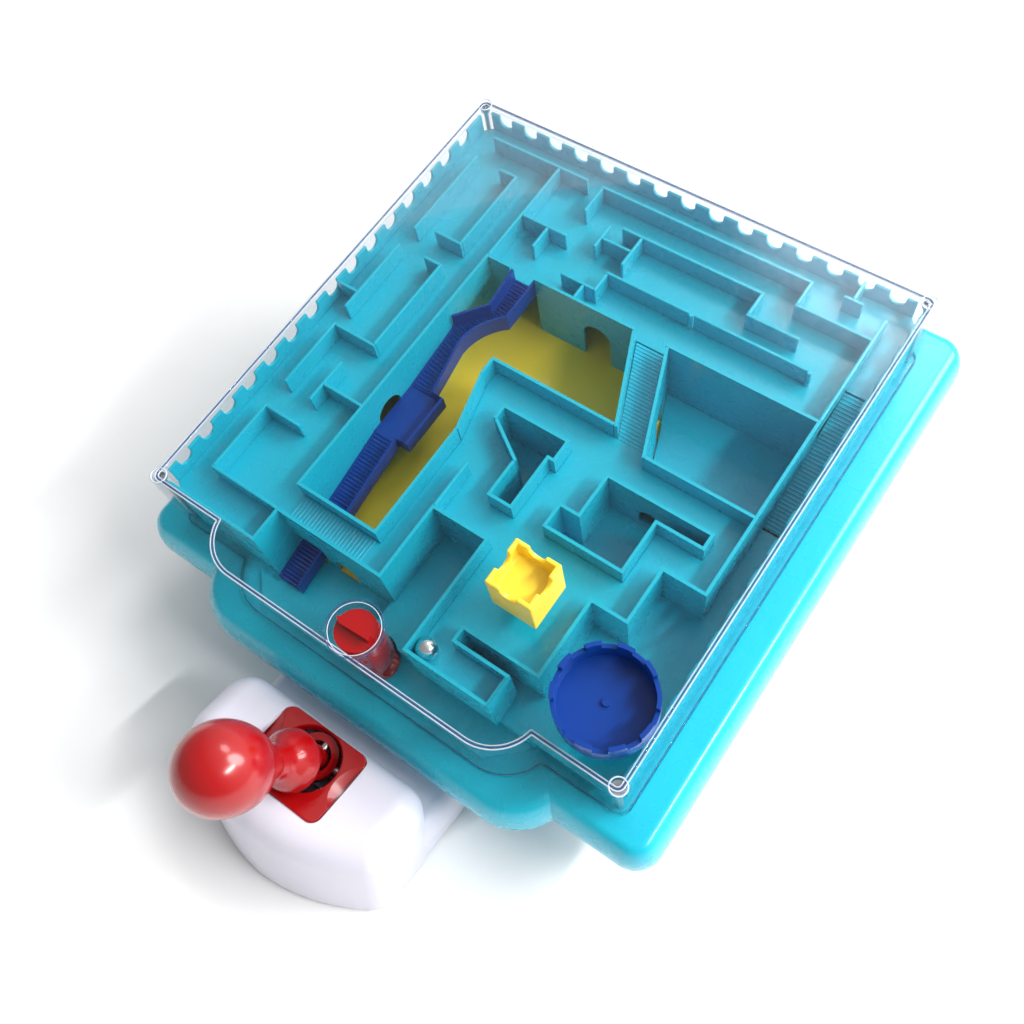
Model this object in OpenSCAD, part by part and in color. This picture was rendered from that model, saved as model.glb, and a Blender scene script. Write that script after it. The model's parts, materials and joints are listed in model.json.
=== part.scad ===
// Tilt maze game: a walled board under a clear box lid, tipped by a joystick in the base.
// World frame: +X to the player's right, +Y away from the player, +Z up, table at z = 0,
// origin under the board's pivot. Board pieces are drawn in the board's own frame, whose
// origin is the middle of the lid's top face, and on_board() tips them into place.

/* [Lid and maze] */
// Width of the clear lid at its top face
lid_w = 204; // [203:0.5:206]
// Length of the clear lid at its top face, without the front bay
lid_l = 210.6; // [210:0.2:213]
// Thickness of the clear lid's walls
lid_t = 1.5; // [1.2:0.1:1.6]
// Depth of the maze walls' tops below the lid's top face
wall_top = 2.4; // [2.2:0.1:2.8]
// Thickness of the maze walls
wall_t = 1.2; // [1:0.1:1.2]
// Thickness of the moulded floors
floor_t = 1.5; // [1.2:0.1:1.5]
// Diameter of the steel ball
ball_d = 8; // [7:0.5:8]
// Distance from one merlon to the next
merlon_pitch = 12.7; // [12.3:0.1:12.8]
// Depth of the gaps between merlons
crenel_depth = 5; // [3:0.5:6]

/* [Pose at rest] */
// Tilt of the board towards the player, against its front stop
board_tilt = 16; // [14:0.5:16]
// Lean of the stick towards the player at the same stop
stick_lean = 33; // [30:0.5:34]

/* [Base] */
// Half width of the joystick console
console_hw = 45.5; // [45:0.5:47]
// Height of the console's top above the table
console_h = 47.5; // [47:0.5:48]
// Half width of the wide foot under the board
foot_hw = 76; // [70:1:84]
// Height of the wide foot
foot_h = 24; // [23:0.5:24]

/* [Hidden] */
$fn = 48;
teal = "#2fb4c8";
yellow = "#e8d23c";
blue = "#1e3c96";
red = "#d20f19";
white = "#e6e4ec";
grey = "#8c9298";
steel = "#b8bcc0";

// Gap that keeps neighbouring solids of one moulding apart
seam = 0.02;
// Running clearance of a pin in its bore, on the radius
run_gap = 0.05;
// Clearance of parts that only pass each other
gap = 0.3;
half_t = wall_t / 2;
join = half_t + seam;

// Base: thickness of its bottom plate, and height of that plate above the table
base_t = 2.4;
foot_lift = 1.5;

// Floors, as depths below the lid's top face
deck_z = -11;
low_z = -27;
tray_z = -36;
lid_bottom = -37;
shell_floor = -37.6;
shell_bottom = -60;
// Board pivot and stick pivot
pivot_h = 58;
pivot_drop = 66;
stick_h = 38.5;
stick_reach = 150;
// Both tails have one length, so the stick and the board tip by equal angles
tail_r = 22;
// Control plate: height of its underside, its thickness and its offset from level at rest
plate_z = 13.5;
plate_t = 6;
plate_shift = tail_r * sin(board_tilt);

// ---- frames and small helpers ----
module on_board() {
    translate([0, 0, pivot_h]) rotate([board_tilt, 0, 0]) translate([0, 0, pivot_drop]) children();
}
module at_board_pivot() {
    translate([0, 0, pivot_h]) rotate([board_tilt, 0, 0]) children();
}
// The stick is bent at its hub: its tail leans like the board, its shaft leans further
module at_stick_pivot() {
    translate([0, -stick_reach, stick_h]) rotate([board_tilt, 0, 0]) children();
}
module along_stick() {
    translate([0, -stick_reach, stick_h]) rotate([stick_lean, 0, 0]) children();
}
module slab(x0, y0, x1, y1, z0, z1) {
    translate([x0, y0, z0]) cube([x1 - x0, y1 - y0, z1 - z0]);
}
module plate(z, t, points) {
    translate([0, 0, z - t]) linear_extrude(t) polygon(points);
}
module pan_screw(length, r = 1.2) {
    // head upwards, shank down from z = 0
    translate([0, 0, -length]) cylinder(r = r, h = length);
    difference() {
        cylinder(r = 2 * r, h = r);
        slab(-r * 1.4, -0.3, r * 1.4, 0.3, r * 0.5, r * 2);
        slab(-0.3, -r * 1.4, 0.3, r * 1.4, r * 0.5, r * 2);
    }
}

// ---- maze walls: runs of straight wall pieces that meet at corners ----
function heading(a, b) = atan2(b.y - a.y, b.x - a.x);
function pull_back(turn) = half_t * (abs(sin(turn)) + abs(cos(turn))) + seam;
module wall_piece(a, b, start, finish, bottom) {
    // start and finish lengthen the piece past its two points, or shorten it
    length = norm(b - a) + start + finish;
    translate([a.x, a.y, bottom]) rotate([0, 0, heading(a, b)])
        translate([-start, -half_t, 0]) cube([length, wall_t, -wall_top - bottom]);
}
// An open run; a joined end stops short of the wall that it meets
module wall_run(points, start_joined, end_joined, bottom) {
    last = len(points) - 2;
    for (i = [0:last]) {
        a = points[i];
        b = points[i + 1];
        start = i == 0 && start_joined ? -join : half_t;
        turn = i < last ? heading(b, points[i + 2]) - heading(a, b) : 0;
        finish = i < last ? -pull_back(turn) : (end_joined ? -join : half_t);
        wall_piece(a, b, start, finish, bottom);
    }
}
// A closed run
module wall_loop(points, bottom) {
    n = len(points);
    for (i = [0:n - 1]) {
        a = points[i];
        b = points[(i + 1) % n];
        turn = heading(b, points[(i + 2) % n]) - heading(a, b);
        wall_piece(a, b, half_t, -pull_back(turn), bottom);
    }
}
// A doorway through a wall: upright sides and a round top
module doorway(at, angle, width, bottom, top) {
    translate([at.x, at.y, 0]) rotate([0, 0, angle]) {
        slab(-width / 2, -3, width / 2, 3, bottom, top - width / 2);
        translate([0, 3, top - width / 2]) rotate([90, 0, 0]) cylinder(r = width / 2, h = 6);
    }
}

// Places of the battlement's walls, on their centre lines
edge_x = lid_w / 2 - lid_t - 0.1 - half_t;
edge_y = lid_l / 2 - lid_t - 0.4 - half_t;
corner_x = edge_x - 3.4;
corner_y = edge_y - 3.4;

// Corners of the sunken parts of the maze
yard = [[-43.5, 41], [-54, 41], [-54, -77], [-18, -77], [-18, -28], [-24, -4], [-24, 3],
        [30.5, 3], [14, 41], [-30.5, 41]];
big_pit = [[45.5, -2.5], [28.5, 41], [90, 41], [90, -2.5]];
y_pit = [[-8.5, -11.5], [19.5, -11.5], [19.5, -20.5], [17, -20.5], [17, -43.5], [7.5, -43.5],
         [7.5, -27.5], [-8.5, -17]];
box_pit = [[39, -15.5], [81, -15.5], [81, -21.5], [62.5, -21.5], [62.5, -43], [31, -43],
           [31, -33.5], [39, -33.5]];
low_edge = [[-6.5, -58], [17, -58], [17, -105], [51, -105], [51, -93.5], [29, -93.5],
            [29, -88], [59.5, -88], [59.5, -57], [73.5, -57], [73.5, -35], [90, -35],
            [90, -2.5]];

module deck_walls() color(teal) on_board() {
    floor_top = deck_z + seam;
    free_runs = [
        [[-87, 92], [-41, 92]],
        [[-88, 80], [-88, 37.5]],
        [[-75, 79], [-67, 79], [-67, 40], [-79, 40]],
        [[-88.5, 27], [-88.5, -7]],
        [[-75, 27.5], [-67.5, 27.5], [-67.5, -16], [-87, -16], [-87, -46]],
        [[-73.5, -29], [-73.5, -47]],
        [[-14.5, 78.5], [46.5, 78.5], [46.5, 67.5], [67, 67.5]],
        [[-20, 76.5], [-20, 66]],
        [[-23.5, 48.5], [-8.5, 48.5], [-8.5, 57.5], [27, 57.5]],
        [[30.5, 57.5], [76, 57.5]]
    ];
    // Runs whose last point meets another wall
    end_runs = [
        [[-70, -58.5], [-86.5, -58.5], [-86.5, -89], [-54, -89]],
        [[-33, 79], [-33, 92], [59.5, 92], [59.5, 80.3], [90, 80.3]],
        [[90, 90], [90, 41]],
        [[73, 92.5], [76, 92.5]],
        [[-6.5, -38], [-6.5, -58]]
    ];
    // Runs whose first point meets another wall
    start_runs = [
        [[-54, 64.5], [-33, 64.5]],
        [[-41, 64.5], [-41, 54]],
        [[76, edge_y], [76, 92.5], [79.5, 92.5]],
        [[-6, 78.5], [-6, 64]]
    ];
    // Runs that meet a wall at both ends
    held_runs = [
        [[-54, 92], [-54, 41]],
        [[-edge_x, 0.5], [-88.5, 0.5]],
        [[-73.5, -39.5], [-54, -39.5]],
        [[-20, 70.5], [-6, 70.5]],
        [[-13.5, 48.5], [-13.5, 41]]
    ];
    for (points = free_runs) wall_run(points, false, false, floor_top);
    for (points = end_runs) wall_run(points, false, true, floor_top);
    for (points = start_runs) wall_run(points, true, false, floor_top);
    for (points = held_runs) wall_run(points, true, true, floor_top);
    for (x = [28.75, 77.6]) translate([x, 56.9, floor_top])
        cylinder(r = 0.9, h = -wall_top - floor_top);
}

module pit_walls() color(teal) on_board() difference() {
    tray_top = tray_z + seam;
    low_top = low_z + seam;
    union() {
        wall_run(yard, false, false, tray_top);
        wall_loop(big_pit, tray_top);
        wall_run([[-54, -89], [-6.5, -89]], false, true, tray_top);
        wall_run([[-54, -89], [-54, -edge_y]], true, false, tray_top);
        wall_loop(y_pit, low_top);
        wall_loop(box_pit, low_top);
        wall_run(low_edge, false, true, low_top);
        wall_run([[-6.5, -58], [-6.5, -89]], true, false, low_top);
    }
    doorway([-54, -29], 90, 13, tray_z - 1, -13.5);
    doorway([-3, 41], 0, 12.5, tray_z - 1, -14.5);
    doorway([35.5, 24], heading(big_pit[0], big_pit[1]), 11, tray_z - 1, -18);
    doorway([56.5, -15.5], 0, 9, -24, -14);
    doorway([-30, -89], 0, 10, tray_z - 1, -24);
    // The track passes under the front bridge through these two
    slab(-53.2, -79, -40, -75, tray_z - 1, -20);
    slab(-53.2, -91, -40, -87, tray_z - 1, -22);
}

// Perimeter walls with square merlons and round-bottomed gaps
module crenels(count, first, length) {
    for (i = [0:count - 1]) translate([first + i * merlon_pitch, 0, -wall_top - crenel_depth]) {
        r = merlon_pitch / 4;
        slab(-r, -3, r, 3, r, crenel_depth + 1);
        translate([0, 3, r]) rotate([90, 0, 0]) cylinder(r = r, h = 6);
    }
}
module battlement() color(teal) on_board() {
    foot = shell_floor + seam;
    for (side = [-1, 1]) difference() {
        slab(side * edge_x - half_t, -corner_y, side * edge_x + half_t, corner_y, foot, -wall_top);
        translate([side * edge_x, 0, 0]) rotate([0, 0, 90]) crenels(15, -91.5, 0);
    }
    difference() {
        slab(-corner_x, edge_y - half_t, corner_x, edge_y + half_t, foot, -wall_top);
        translate([0, edge_y, 0]) crenels(15, -88.9, 0);
    }
    slab(-corner_x, -edge_y - half_t, -54 - join, -edge_y + half_t, foot, -wall_top);
}

// ---- floors ----
module lid_posts(r, z0, z1) {
    for (sx = [-1, 1]) for (sy = [-1, 1])
        translate([sx * post_x, sy * post_y, z0]) cylinder(r = r, h = z1 - z0);
}
post_x = lid_w / 2 - 2;
post_y = lid_l / 2 - 2;
post_r = 3.4;
floor_x = edge_x - half_t - seam;
floor_y = edge_y - half_t - seam;

module maze_deck() color(teal) on_board() {
    difference() {
        plate(deck_z, floor_t, [[-floor_x, -floor_y], [-54 - join, -floor_y], [-54 - join, -89 - join],
            [-54 - join, -89 + join], [-6.5 - join, -89 + join], [-6.5 - join, -58 + join],
            [17 + join, -58 + join], [17 + join, -105 + join],
            [51 - join, -105 + join], [51 - join, -93.5 - join], [29 - join, -93.5 - join],
            [29 - join, -88 + join], [59.5 - join, -88 + join],
            [59.5 - join, -57 + join], [73.5 - join, -57 + join],
            [73.5 - join, -35 + join], [90 - join, -35 + join], [90 - join, 62],
            [floor_x, 62], [floor_x, floor_y], [-floor_x, floor_y]]);
        for (hole = [concat(yard, [[-43.5, 41]]), y_pit, box_pit, big_pit,
                     [[30, 3], [46.5, 3], [31, 41], [13, 41]]])
            translate([0, 0, deck_z - 2 * floor_t]) linear_extrude(3 * floor_t)
                offset(delta = join) polygon(hole);
        lid_posts(post_r + 0.1, -20, 0);
        slab(90 - join, -3, 90 + join, 62.5, -20, 0);
    }
}

// Ribbed surface: a thin plate with ribs across its length, which runs along +Y
module ribbed(w, l, pitch, t = 0.5) {
    slab(0, 0, w, l, 0, t);
    for (y = [pitch / 2:pitch:l - pitch / 2])
        translate([0, y, t]) rotate([0, 90, 0]) cylinder(r = 0.3, h = w);
}
rib_pitch = 1.5;
module front_bridge() color(teal) on_board()
    translate([-18.8, -88.2, deck_z + seam]) rotate([0, 0, 90]) ribbed(10.4, 34.5, rib_pitch, 0.3);

// Slanted crossing between the yard and the big pit
function left_x(y) = 30.5 - (y - 3) * 16.5 / 38 + 1;
function right_x(y) = 45.5 - (y + 2.5) * 17 / 43.5 - 0.75;
module middle_bridge() color(teal) on_board() {
    plate(deck_z, floor_t, [[left_x(3), 2.45], [right_x(3), 2.45], [right_x(41), 41],
        [left_x(41), 41]]);
    intersection() {
        for (y = [4:rib_pitch:40]) translate([10, y, deck_z])
            rotate([0, 90, 0]) cylinder(r = 0.3, h = 40);
        plate(deck_z + 1, 2, [[left_x(3), 3], [right_x(3), 3], [right_x(40.5), 40.5],
            [left_x(40.5), 40.5]]);
    }
}

ramp_run = 56;
ramp_drop = deck_z - low_z;
module side_ramp() color(teal) on_board() {
    slope = atan2(ramp_drop, ramp_run);
    length = norm([ramp_run, ramp_drop]) - 1.2;
    x0 = 90 + join;
    translate([x0, 6.5, low_z - 0.5]) rotate([slope, 0, 0])
        ribbed(floor_x - x0, length, rib_pitch, 1);
}

module lower_floor() color(teal) on_board() difference() {
    union() {
        plate(low_z, floor_t, [[-11, -3.2], [-11, -88.3], [-7.1, -88.3], [-7.1, -103.6],
            [floor_x, -103.6], [floor_x, 5.6], [90 + join, 5.6], [90 + join, -3.2]]);
        slab(-7.2, -103.6, 66, -102.2, tray_z + seam, low_z - floor_t);
    }
    lid_posts(post_r + 0.1, -30, -20);
    translate([drum_xy.x, drum_xy.y, -50]) cylinder(r = drum_r + 0.5, h = 50);
}

module tray_floor() color(yellow) on_board() difference() {
    slab(-floor_x, -89.5, floor_x, floor_y, tray_z - floor_t, tray_z);
    lid_posts(post_r + 0.1, -40, -30);
}

module pit_floor() color(teal) on_board() {
    plate(tray_z + 1 + seam, 1, [[46.2, -1.8], [29.6, 40.3], [89.3, 40.3], [89.3, -1.8]]);
    plate(tray_z + 1.6 + seam, 0.6, [[46.2, -1.8], [35.2, 27], [89.3, 27], [89.3, -1.8]]);
}

module front_floor() color(teal) on_board() difference() {
    slab(-66, -116.8, 66, -89.7, tray_z - floor_t, tray_z);
    // slim at the back corners, beside the lid's wall
    slab(-70, -106.5, -53, -80, -50, -20);
    translate([drum_xy.x, drum_xy.y, -50]) cylinder(r = 1.5, h = 30);
    for (sx = [-1, 1]) translate([sx * 66, -116.8, -50]) rotate([0, 0, 45])
        slab(-10, -10, 10, 10, 0, 30);
}

// ---- twisting track: five straight chutes, end to end ----
track_w = 12;
chute_wall = 5;
module chute(a, b, za, zb, w = track_w, left = true, right = true) {
    run_l = norm(b - a);
    slope = atan2(za - zb, run_l);
    translate([a.x, a.y, za]) rotate([0, 0, heading(a, b)]) rotate([0, slope, 0]) {
        length = norm([run_l, za - zb]);
        translate([0, -w / 2, -1.2]) cube([length, w, 1.2]);
        for (x = [1:rib_pitch:length - 1]) translate([x, w / 2, 0])
            rotate([90, 0, 0]) cylinder(r = 0.3, h = w);
        if (left) translate([0, w / 2 - 1, -1.2]) cube([length, 1, chute_wall + 1.2]);
        if (right) translate([0, -w / 2, -1.2]) cube([length, 1, chute_wall + 1.2]);
    }
}
module twist_track() color(blue) on_board() difference() {
    union() {
        chute([-37, 41.5], [-37, 22], deck_z, -14, track_w - 0.3);
        chute([-36.4, 23.5], [-46.6, 7], -14, -17, track_w);
        chute([-46.9, 10], [-46.9, -16], -17, -20, track_w);
        slab(-53, -40, -35.5, -15.5, -21.5, -20);
        slab(-36.5, -40, -35.5, -15.5, -21.5, -15);
        slab(-41, -16.5, -35.5, -15.5, -21.5, -15);
        slab(-41, -40, -35.5, -39, -21.5, -15);
        chute([-46.9, -39], [-46.9, -106], -20.6, -34, track_w);
    }
    // flush with the long wall, the deck's edge and the floor below
    slab(-60, -120, -54 + join, 60, -60, 0);
    slab(-60, 40.3, -43.6, 60, -60, 0);
    slab(-30.4, 40.3, -20, 60, -60, 0);
    slab(-60, 41.6, -20, 60, -60, 0);
    slab(-60, -120, -20, 60, -60, tray_z + seam);
}

// ---- two figures that stand on the lid ----
module square_turret() color(yellow) on_board() translate([41.75, -67.25, 0]) difference() {
    hw = 8.9;
    h = 20;
    slab(-hw, -hw, hw, hw, seam, h);
    slab(-hw + 1.6, -hw + 1.6, hw - 1.6, hw - 1.6, h - 8, h + 1);
    for (turn = [0, 90]) rotate([0, 0, turn]) {
        slab(-3.2, -hw - 1, 3.2, hw + 1, h - 1.6, h + 1);
        translate([0, hw + 1, h - 1.6]) rotate([90, 0, 0]) cylinder(r = 3.2, h = 2 * hw + 2);
    }
    // hollow underneath
    slab(-hw + 1.6, -hw + 1.6, hw - 1.6, hw - 1.6, -1, h - 9.6);
}
tower_xy = [83.2, -84.2];
tower_r = 17.3;
tower_h = 12;
module round_tower() color(blue) on_board() translate([tower_xy.x, tower_xy.y, 0])
    difference() {
        union() {
            translate([0, 0, seam]) cylinder(r = tower_r, h = tower_h);
        }
        translate([0, 0, 1.5]) difference() {
            cylinder(r = tower_r - 1.5, h = tower_h);
            cylinder(r = 1.2, h = 1.2);
        }
        for (i = [0:4]) rotate([0, 0, i * 36 + 10])
            slab(-tower_r - 1, -2.5, tower_r + 1, 2.5, tower_h - 3.2, tower_h + 1);
    }

// ---- steel ball in its starting cell ----
ball_xy = [17 + half_t + ball_d / 2 + 0.15, -105 + half_t + ball_d / 2 + 0.15];
module steel_ball() color(steel) on_board()
    translate([ball_xy.x, ball_xy.y, deck_z + ball_d / 2 + 0.03]) sphere(r = ball_d / 2);

// ---- loading drum ----
drum_xy = [0, -109.3];
drum_r = 7.7;
tube_r = 10.4;
module on_drum() {
    on_board() translate([drum_xy.x, drum_xy.y, 0]) children();
}
module loading_drum() color(red) on_drum() difference() {
    union() {
        translate([0, 0, tray_z + 0.9]) cylinder(r = drum_r, h = -tray_z - 0.9);
        // finger grip with a pointed end
        translate([0, 0, -0.1]) linear_extrude(3.6)
            polygon([[-7.5, 0], [-5, 1.4], [6.6, 0.9], [6.6, -0.9], [-5, -1.4]]);
    }
    // two pockets that pass a ball from the front floor up to the deck
    translate([drum_r + 0.3, 0, tray_z + 6]) sphere(r = ball_d / 2 + 0.5);
    translate([drum_r + 0.3, 0, deck_z + 4.2]) sphere(r = ball_d / 2 + 0.5);
    translate([0, 0, tray_z]) cylinder(r = 2 + run_gap, h = 16);
}
module drum_spindle() color(steel) on_drum() {
    translate([0, 0, tray_z + 0.1]) cylinder(r = 2, h = 15);
    translate([0, 0, tray_z - floor_t + 0.1]) cylinder(r = 1.45, h = floor_t + 0.1);
}
module drum_washer() color(steel) on_drum() translate([0, 0, tray_z + 0.05]) difference() {
    cylinder(r = 5, h = 0.7);
    translate([0, 0, -1]) cylinder(r = 2.2, h = 3);
}

// ---- clear lid ----
bay_hw = 69.5;
bay_y = 119;
bay_r = 18;
module lid_outline(grow) {
    offset(r = 3 + grow, $fn = 32) square([lid_w - 6, lid_l - 6], center = true);
    translate([0, -bay_y + 40]) offset(r = bay_r + grow)
        square([2 * (bay_hw - bay_r), 2 * (40 - bay_r)], center = true);
}
module clear_lid() color(white, 0.35) on_board() difference() {
    union() {
        difference() {
            union() {
                translate([0, 0, lid_bottom]) linear_extrude(-lid_bottom) lid_outline(0);
                translate([0, 0, lid_bottom]) linear_extrude(2) lid_outline(1.5);
            }
            translate([0, 0, lid_bottom - 1]) linear_extrude(-lid_bottom - 1) lid_outline(-lid_t);
        }
        lid_posts(post_r, lid_bottom, 0);
        translate([drum_xy.x, drum_xy.y, -6]) cylinder(r = tube_r, h = 8);
        for (sx = [-1, 1]) translate([sx * 9.5, -116.6, -12]) cylinder(r = 1.8, h = 14);
        translate([0, 2, -1]) cylinder(r = 2.6, h = 1.9);
    }
    lid_posts(1.35, lid_bottom - 1, 1);
    lid_posts(2.6, -3, 1);
    translate([drum_xy.x, drum_xy.y, -7]) cylinder(r = tube_r - 1.2, h = 12);
}
module lid_screws() color(steel) on_board()
    for (sx = [-1, 1]) for (sy = [-1, 1])
        translate([sx * post_x, sy * post_y, -2.9]) pan_screw(lid_screw_l, 1.15);
lid_screw_l = 41;

// ---- lower shell: rounded bumper with an open underside ----
rim_r = 11;
rim_side = 119.5 - rim_r;
rim_front = 119 - rim_r;
rim_back = 124 - rim_r;
rim_bay_hw = 83.5 - rim_r;
rim_bay_y = 133 - rim_r;
rim_h = lid_bottom - shell_bottom;
module rim_core() {
    translate([-rim_side, -rim_front]) square([2 * rim_side, rim_front + rim_back]);
    translate([0, -rim_bay_y + 30]) offset(r = 12, $fn = 32)
        square([2 * (rim_bay_hw - 12), 2 * 18], center = true);
}
// Egg-shaped section, turned: flat on top, full at about half its height
module rim_tool(grow) {
    r = rim_r;
    rotate_extrude($fn = 32) polygon(concat([[0, 0], [r - 2 + grow, 0]],
        [for (a = [0:18:90]) [r * (0.35 + 0.65 * cos(a)) + grow, rim_h * (0.45 + 0.55 * sin(a))]],
        [[0, rim_h]]));
}
module rim_body(x, y0, y1, grow) hull() {
    for (sx = [-1, 1]) for (y = [y0, y1]) translate([sx * x, y, shell_bottom]) rim_tool(grow);
}
module rim_outside() {
    rim_body(rim_side, -rim_front, rim_back, 0);
    rim_body(rim_bay_hw - 12, 12 - rim_bay_y, -80, 12);
}
// The hollow under the tray follows the rim with straight, sloping walls
module rim_inside() {
    for (step = [0:2]) translate([0, 0, shell_bottom - 1]) linear_extrude(rim_h - 1.8 - 5 * step)
        offset(r = rim_r - 6.5 + 1.8 * step, $fn = 24) rim_core();
}
module lower_shell() color(teal) on_board() difference() {
    union() {
        difference() {
            rim_outside();
            rim_inside();
        }
        for (p = shell_post_xy) translate([p.x, p.y, -52]) cylinder(r = 4, h = shell_floor + 51);
    }
    // seat of the lid, with a fine shadow line round it
    translate([0, 0, shell_floor]) linear_extrude(3) offset(delta = 0.15) lid_outline(1.5);
    translate([0, 0, lid_bottom - 0.6]) linear_extrude(3) difference() {
        lid_outline(3.6);
        lid_outline(2.6);
    }
    for (p = shell_post_xy) translate([p.x, p.y, -60]) cylinder(r = 1.25, h = 30);
    lid_posts(1.25, -60, -30);
}
shell_post_xy = [[-80, -60], [80, -60], [80, 70], [-80, 70], [0, 92], [0, -70]];
module shell_screws() color(steel) on_board()
    for (p = shell_post_xy) translate([p.x, p.y, -52.05]) mirror([0, 0, 1]) pan_screw(13.5, 1.2);

// ---- board pivot: bracket, tail, gimbal ring and pins ----
ring_ro = 19.6;
ring_ri = 13.5;
ring_h = 8;
pin_r = 2;
bracket_top = shell_floor - 2.25;
bracket_xy = [[-24, -24], [24, -24], [24, 24], [-24, 24]];
module pivot_bracket() color(grey) on_board() difference() {
    union() {
        slab(-30, -30, 30, 30, bracket_top - 3.5, bracket_top);
        for (side = [-1, 1]) {
            slab(-7, side * 22.5 - 2.5, 7, side * 22.5 + 2.5, -pivot_drop, bracket_top - 3);
            translate([0, side * 22.5 - 2.5, -pivot_drop]) rotate([-90, 0, 0]) cylinder(r = 7, h = 5);
        }
        translate([0, 0, bracket_top - 9]) cylinder(r = 8, h = 6);
    }
    translate([0, 30, -pivot_drop]) rotate([90, 0, 0]) cylinder(r = pin_r + run_gap, h = 60);
    translate([0, 0, bracket_top - 12]) cylinder(r = 4.02, h = 20);
    for (p = bracket_xy) translate([p.x, p.y, -70]) cylinder(r = 1.6, h = 40);
}
module bracket_screws() color(steel) on_board()
    for (p = bracket_xy) translate([p.x, p.y, bracket_top - 3.55])
        mirror([0, 0, 1]) pan_screw(3.4, 1.5);
module board_tail() color(grey) at_board_pivot() {
    top = pivot_drop + bracket_top - 0.05;
    translate([0, 0, -10]) cylinder(r = 4, h = 10 + top);
    translate([0, 0, -tail_r]) cylinder(r = 2, h = tail_r - 9);
    translate([0, 0, -tail_r]) sphere(r = 2.8);
}
module gimbal_ring(ro, ri, h, hole_r) {
    difference() {
        translate([0, 0, -h / 2]) cylinder(r = ro, h = h);
        translate([0, 0, -h]) cylinder(r = ri, h = 2 * h);
        translate([-ro - 1, 0, 0]) rotate([0, 90, 0]) cylinder(r = hole_r, h = 2 * ro + 2);
        translate([0, ro + 1, 0]) rotate([90, 0, 0]) cylinder(r = hole_r, h = 2 * ro + 2);
    }
}
module board_ring() color(grey) at_board_pivot() gimbal_ring(ring_ro, ring_ri, ring_h, pin_r + 0.01);
module board_pitch_pins() color(steel) at_board_pivot() for (side = [0, 180])
    rotate([0, 0, side]) translate([ring_ri + 0.6, 0, 0]) rotate([0, 90, 0]) cylinder(r = pin_r, h = 12);
module board_roll_pins() color(steel) at_board_pivot() for (side = [90, 270])
    rotate([0, 0, side]) translate([ring_ri + 0.6, 0, 0]) rotate([0, 90, 0]) cylinder(r = pin_r, h = 10.6);

// Two uprights that carry the board's ring, either side of the control plate
tower_x0 = 20;
tower_x1 = 26.4;
tower_base = foot_lift + base_t + seam;
module pivot_tower() color(white) difference() {
    union() {
        for (side = [-1, 1]) {
            x0 = side > 0 ? tower_x0 : -tower_x1;
            slab(x0, -9, x0 + tower_x1 - tower_x0, 9, tower_base + seam, pivot_h);
            translate([x0, 0, pivot_h]) rotate([0, 90, 0]) cylinder(r = 9, h = tower_x1 - tower_x0);
            slab(side > 0 ? tower_x0 : -44, -12, side > 0 ? 44 : -tower_x0, 12,
                 tower_base + seam, tower_base + 4);
            slab(side > 0 ? tower_x1 - 1 : -38, -1.5, side > 0 ? 38 : -tower_x1 + 1, 1.5,
                 tower_base + 3, tower_base + 12);
        }
    }
    translate([-40, 0, pivot_h]) rotate([0, 90, 0]) cylinder(r = pin_r + run_gap, h = 80);
    for (sx = [-1, 1]) for (sy = [-1, 1]) translate([sx * 36, sy * 7.5, 0])
        cylinder(r = 1.6, h = 20);
}
module tower_screws() color(steel) for (sx = [-1, 1]) for (sy = [-1, 1])
    translate([sx * 36, sy * 7.5, tower_base + 4.05]) pan_screw(5, 1.4);

// ---- base housing ----
front_r = 70;
front_y = -186;
module ball_at(x, y, z, r) {
    translate([x, y, z]) sphere(r = r, $fn = 32);
}
// Middles of the round corners and of the bowed front
function bow(x) = [x * (console_hw - 11) / 36,
                   front_y + front_r - sqrt(front_r * front_r - x * x) + 11 + abs(x) / 22];
module console_outline(r) hull() {
    for (x = [-36:9:36]) translate(bow(x)) circle(r = r, $fn = 32);
    for (sx = [-1, 1]) translate([sx * (console_hw - 11), -60]) circle(r = r, $fn = 32);
}
// Console with a bowed front, drawn as one hull; inset makes its inner face
module console_solid(inset, bottom) {
    r = 11 - inset;
    intersection() {
        hull() {
            for (x = [-36:9:36]) {
                ball_at(bow(x).x, bow(x).y, console_h - 11, r);
                translate([bow(x).x, bow(x).y, bottom]) cylinder(r = r + 0.6, h = 1, $fn = 32);
            }
            for (sx = [-1, 1]) {
                translate([sx * (console_hw - 6), -138, console_h - 11])
                    rotate([90, 0, 0]) cylinder(r = 6 - inset + 5, h = 1, $fn = 32);
                translate([sx * (console_hw - 11), -140, bottom]) cylinder(r = r + 0.6, h = 1, $fn = 32);
            }
        }
        slab(-80, -220, 80, -138.6 - inset, bottom, console_h - inset);
    }
}
shoulder = 4.5;
module foot_solid(inset, bottom) {
    r = 8 - inset;
    hull() {
        for (sx = [-1, 1]) {
            for (y = [-68, 68]) {
                ball_at(sx * (foot_hw - 8), y, foot_h - 8, r);
                translate([sx * (foot_hw - 8), y, bottom]) cylinder(r = r, h = 1, $fn = 32);
            }
        }
    }
    hull() {
        for (sx = [-1, 1]) {
            for (y = [-150, 0]) {
                // sloping shoulders leave room for the board's bay when it rolls
                ball_at(sx * 14, y, foot_h - 8, r);
                ball_at(sx * (console_hw - 8), y, foot_h - 8 - shoulder, r);
                translate([sx * (console_hw - 8), y, bottom]) cylinder(r = r, h = 1, $fn = 32);
            }
        }
    }
}
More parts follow.
